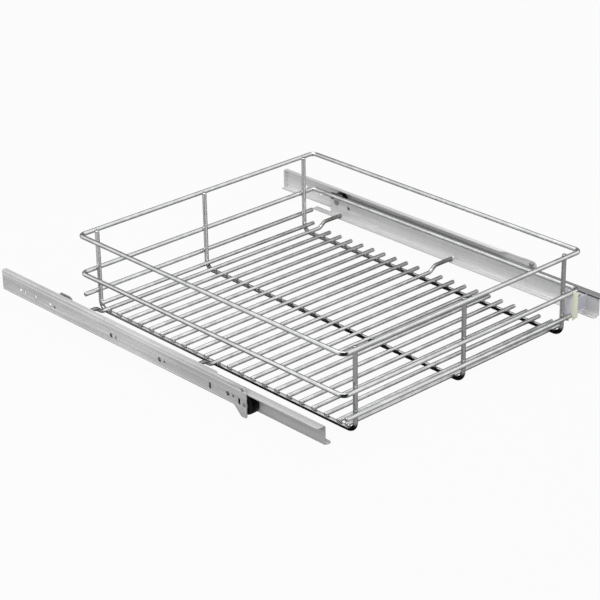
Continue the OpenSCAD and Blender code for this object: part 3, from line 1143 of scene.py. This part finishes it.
@dataclass
class Runner:
    """One side's cabinet rail and drawer rail with their axles, pin and rollers."""

    side: Side
    finishes: Finishes
    sheet_edge: float = 0.2 * MM
    pin_edge: float = 0.15 * MM
    bore_r: float = 3.05 * MM
    head_r: float = 5.2 * MM
    recess: float = 1.7 * MM
    groove: float = 0.6 * MM
    # Shares of the radius where the grooves' walls start and end, from the axis outwards on the face.
    groove_in: Span = (0.42, 0.46)
    groove_out: Span = (0.74, 0.78)
    rear_groove: Span = (0.80, 0.76)
    # How far the rear collar stands out round the rivet's head, at its foot and at its top.
    collar: Span = (1.6 * MM, 1.1 * MM)
    # Distance from the tread's edge, and how far the tread lies in there.
    crown: tuple[Span, ...] = ((0.0, 1.1 * MM), (0.3 * MM, 0.4 * MM), (1.0 * MM, 0.0))

    def rail(self, node: str, body: str, finish: Material) -> None:
        """Builds one rail from its CAD solid, for a body and in a finish."""
        made = sheet_copy(f"{node}_sheet", node, self.sheet_edge)
        dress(made, finish, body, "galvanised_steel", node)

    def roller(self, place: str) -> None:
        """Builds one nylon roller with a grooved face and a crowned tread.

        Args:
            place: front, on the cabinet rail, or rear, on the drawer rail.
        """
        node = f"{place}_roller_{self.side.word}"
        low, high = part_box(node)
        sign = -self.side.value if place == "front" else self.side.value
        width, r = high.x - low.x, (high.z - low.z) / 2
        start = low.x if sign > 0 else high.x
        face = [(0, self.bore_r), (0, r * self.groove_in[0]), (self.groove, r * self.groove_in[1]),
                (self.groove, r * self.groove_out[0]), (0, r * self.groove_out[1])]
        tread = [(step, r - drop) for step, drop in self.crown]
        tread += [(width - step, r - drop) for step, drop in reversed(self.crown)]
        back = [(width, r * self.rear_groove[0]), (width - self.groove, r * self.rear_groove[1]),
                (width - self.groove, self.head_r + self.collar[0]), (width, self.head_r + self.collar[1]),
                (width, self.head_r), (width - self.recess, self.head_r), (width - self.recess, self.bore_r)]
        centre = Vector((start, (low.y + high.y) / 2, (low.z + high.z) / 2))
        made = lathe(f"{node}_wheel", face + tread + back, centre, sign)
        dress(made, self.finishes.nylon, node, "black_nylon", node)

    def pin(self, node: str, body: str) -> None:
        """Softens one axle or pin."""
        made = sheet_copy(f"{node}_turned", node, self.pin_edge)
        dress(made, self.finishes.steel, body, "axle_steel", node)

    def build(self) -> None:
        """Builds and dresses this side."""
        word = self.side.word
        self.rail(f"cabinet_rail_{word}", RUNNERS, self.finishes.rails[self.side])
        self.rail(f"drawer_rail_{word}", BASKET, self.finishes.sheets[self.side])
        self.pin(f"front_axle_{word}", RUNNERS)
        self.pin(f"stop_pin_{word}", RUNNERS)
        self.pin(f"rear_axle_{word}", BASKET)
        for place in ("front", "rear"):
            self.roller(place)


@dataclass
class FrontClip:
    """The bent clip at the right-hand front corner, with its two rivets."""

    finishes: Finishes
    edge: float = 0.25 * MM
    rivet_edge: float = 0.3 * MM

    def build(self) -> None:
        """Builds and dresses the clip."""
        made = sheet_copy("front_clip_plate", "front_clip", self.edge)
        dress(made, self.finishes.zinc, BASKET, "passivated_zinc", "front_clip")
        for place in ("upper", "lower"):
            node = f"clip_rivet_{place}"
            rivet = sheet_copy(f"{node}_head", node, self.rivet_edge)
            dress(rivet, self.finishes.steel, BASKET, "axle_steel", node)


# ---------------- studio


@dataclass(frozen=True)
class Lamp:
    """A square soft lamp aimed at the origin: its place, its edge and its power in watts."""

    name: str
    place: Triple
    size: float
    power: float

    def build(self) -> None:
        """Hangs the lamp."""
        light = bpy.data.lights.new(self.name, "AREA")
        light.size = self.size
        light.energy = self.power
        made = new_object(self.name, light)
        made.location = self.place
        made.rotation_euler = (-Vector(self.place)).to_track_quat("-Z", "Y").to_euler()


@dataclass
class Studio:
    """Plain pale floor, soft light and the camera."""

    floor_half: float = 6.0
    floor_gap: float = 0.1 * MM
    paper: float = 0.45
    paper_lift: float = 0.95
    sky: float = 0.45
    lamps: tuple[Lamp, ...] = (Lamp("overhead_lamp", (-0.4, 0.3, 2.6), 2.2, 30),
                               Lamp("key_lamp", (-2.6, -0.8, 1.8), 1.6, 34))
    card_distance: float = 1.3
    card_steps: int = 8
    card_height: float = 1.3
    card_half_angle: float = 40.0
    camera_tone: float = 0.06
    back_height: float = 1.3
    back_half_angle: float = 60.0
    back_tone: float = 0.45
    camera_place: Triple = (-1.7005, -1.6887, 1.1537)
    azimuth: float = -42.7357
    elevation: float = 24.9554
    roll: float = -0.9505
    focal_px: float = 2087.3
    frame_px: float = 600.0
    sensor_mm: float = 36.0

    def floor(self) -> None:
        """Makes the floor, whose white for the camera still keeps the object's shadow."""
        half, z = self.floor_half, CAD_BOX[0][2] - self.floor_gap
        corners = [(-half, -half, z), (half, -half, z), (half, half, z), (-half, half, z)]
        plane = mesh_object("studio_floor", corners, faces=[(0, 1, 2, 3)])
        material = new_material("studio_floor")
        graph = Graph(material.node_tree)
        paper = graph.output("ShaderNodeBsdfDiffuse", values={"Color": (*grey(self.paper), 1)})
        white = graph.output("ShaderNodeEmission", values={"Color": (1, 1, 1, 1), "Strength": 1.0})
        path = graph.node("ShaderNodeLightPath")
        seen = Value(graph, path.outputs["Is Camera Ray"]) * self.paper_lift
        mixed = graph.output("ShaderNodeMixShader", values={0: seen, 1: paper, 2: white})
        graph.node("ShaderNodeOutputMaterial", values={"Surface": mixed})
        plane.data.materials.append(material)

    def card(self, name: str, azimuth: float, half_angle: float, height: float, tone: float) -> None:
        """Stands a curved dark card on the floor, which only the metal's reflections show.

        Args:
            name: The card's name.
            azimuth: The direction of its middle, in degrees as the camera's.
            half_angle: How far it reaches to each side, in degrees.
            height: Its top edge.
            tone: Its grey.
        """
        points = []
        for k in range(self.card_steps + 1):
            turn = math.radians(azimuth + half_angle * (2 * k / self.card_steps - 1))
            across = Vector((math.sin(turn), -math.cos(turn), 0)) * self.card_distance
            points += [(across.x, across.y, CAD_BOX[0][2]), (across.x, across.y, height)]
        faces = [(2 * k, 2 * k + 2, 2 * k + 3, 2 * k + 1) for k in range(self.card_steps)]
        card = mesh_object(name, points, faces=faces)
        material = new_material(name)
        graph = Graph(material.node_tree)
        dark = graph.output("ShaderNodeBsdfDiffuse", values={"Color": (*grey(tone), 1)})
        graph.node("ShaderNodeOutputMaterial", values={"Surface": dark})
        card.data.materials.append(material)
        card.visible_camera = card.visible_diffuse = card.visible_shadow = False

    def world(self) -> None:
        """Sets the white backdrop and the even soft light."""
        world = bpy.data.worlds.new("studio")
        bpy.context.scene.world = world
        world.use_nodes = True
        world.node_tree.nodes.clear()
        graph = Graph(world.node_tree)
        path = graph.node("ShaderNodeLightPath")
        shown = Value(graph, path.outputs["Is Camera Ray"]) + Value(graph, path.outputs["Is Glossy Ray"])
        shown = (shown + Value(graph, path.outputs["Is Transmission Ray"])).ramp(0.0, 1.0)
        soft = graph.output("ShaderNodeBackground", values={"Color": (1, 1, 1, 1), "Strength": self.sky})
        white = graph.output("ShaderNodeBackground", values={"Color": (1, 1, 1, 1), "Strength": 1.0})
        mixed = graph.output("ShaderNodeMixShader", values={0: shown, 1: soft, 2: white})
        graph.node("ShaderNodeOutputWorld", values={"Surface": mixed})

    def camera(self) -> None:
        """Sets the camera."""
        a, e, r = (math.radians(v) for v in (self.azimuth, self.elevation, self.roll))
        back = Vector((math.sin(a) * math.cos(e), -math.cos(a) * math.cos(e), math.sin(e)))
        level = Vector((0, 0, 1)).cross(back).normalized()
        rise = back.cross(level)
        right = level * math.cos(r) + rise * math.sin(r)
        up = rise * math.cos(r) - level * math.sin(r)
        data = bpy.data.cameras.new("studio_camera")
        data.sensor_width = self.sensor_mm
        data.lens = self.focal_px / self.frame_px * self.sensor_mm
        made = new_object("studio_camera", data)
        turned = Matrix((right, up, back)).transposed().to_4x4()
        made.matrix_world = Matrix.Translation(self.camera_place) @ turned
        bpy.context.scene.camera = made

    def build(self) -> None:
        """Builds the studio."""
        bpy.context.scene.view_settings.view_transform = "Standard"
        self.floor()
        self.card("camera_card", self.azimuth, self.card_half_angle, self.card_height, self.camera_tone)
        self.card("back_card", self.azimuth + 180, self.back_half_angle, self.back_height, self.back_tone)
        self.world()
        for lamp in self.lamps:
            lamp.build()
        self.camera()


def main() -> None:
    """Builds every sub-assembly in order."""
    logging.basicConfig(level=logging.INFO, format="%(message)s")
    finishes = Finishes()
    WireTray(finishes, Sweep(), Repeat()).build()
    for side in Side:
        Runner(side, finishes).build()
    FrontClip(finishes).build()
    Studio().build()


if __name__ == "__main__":
    main()
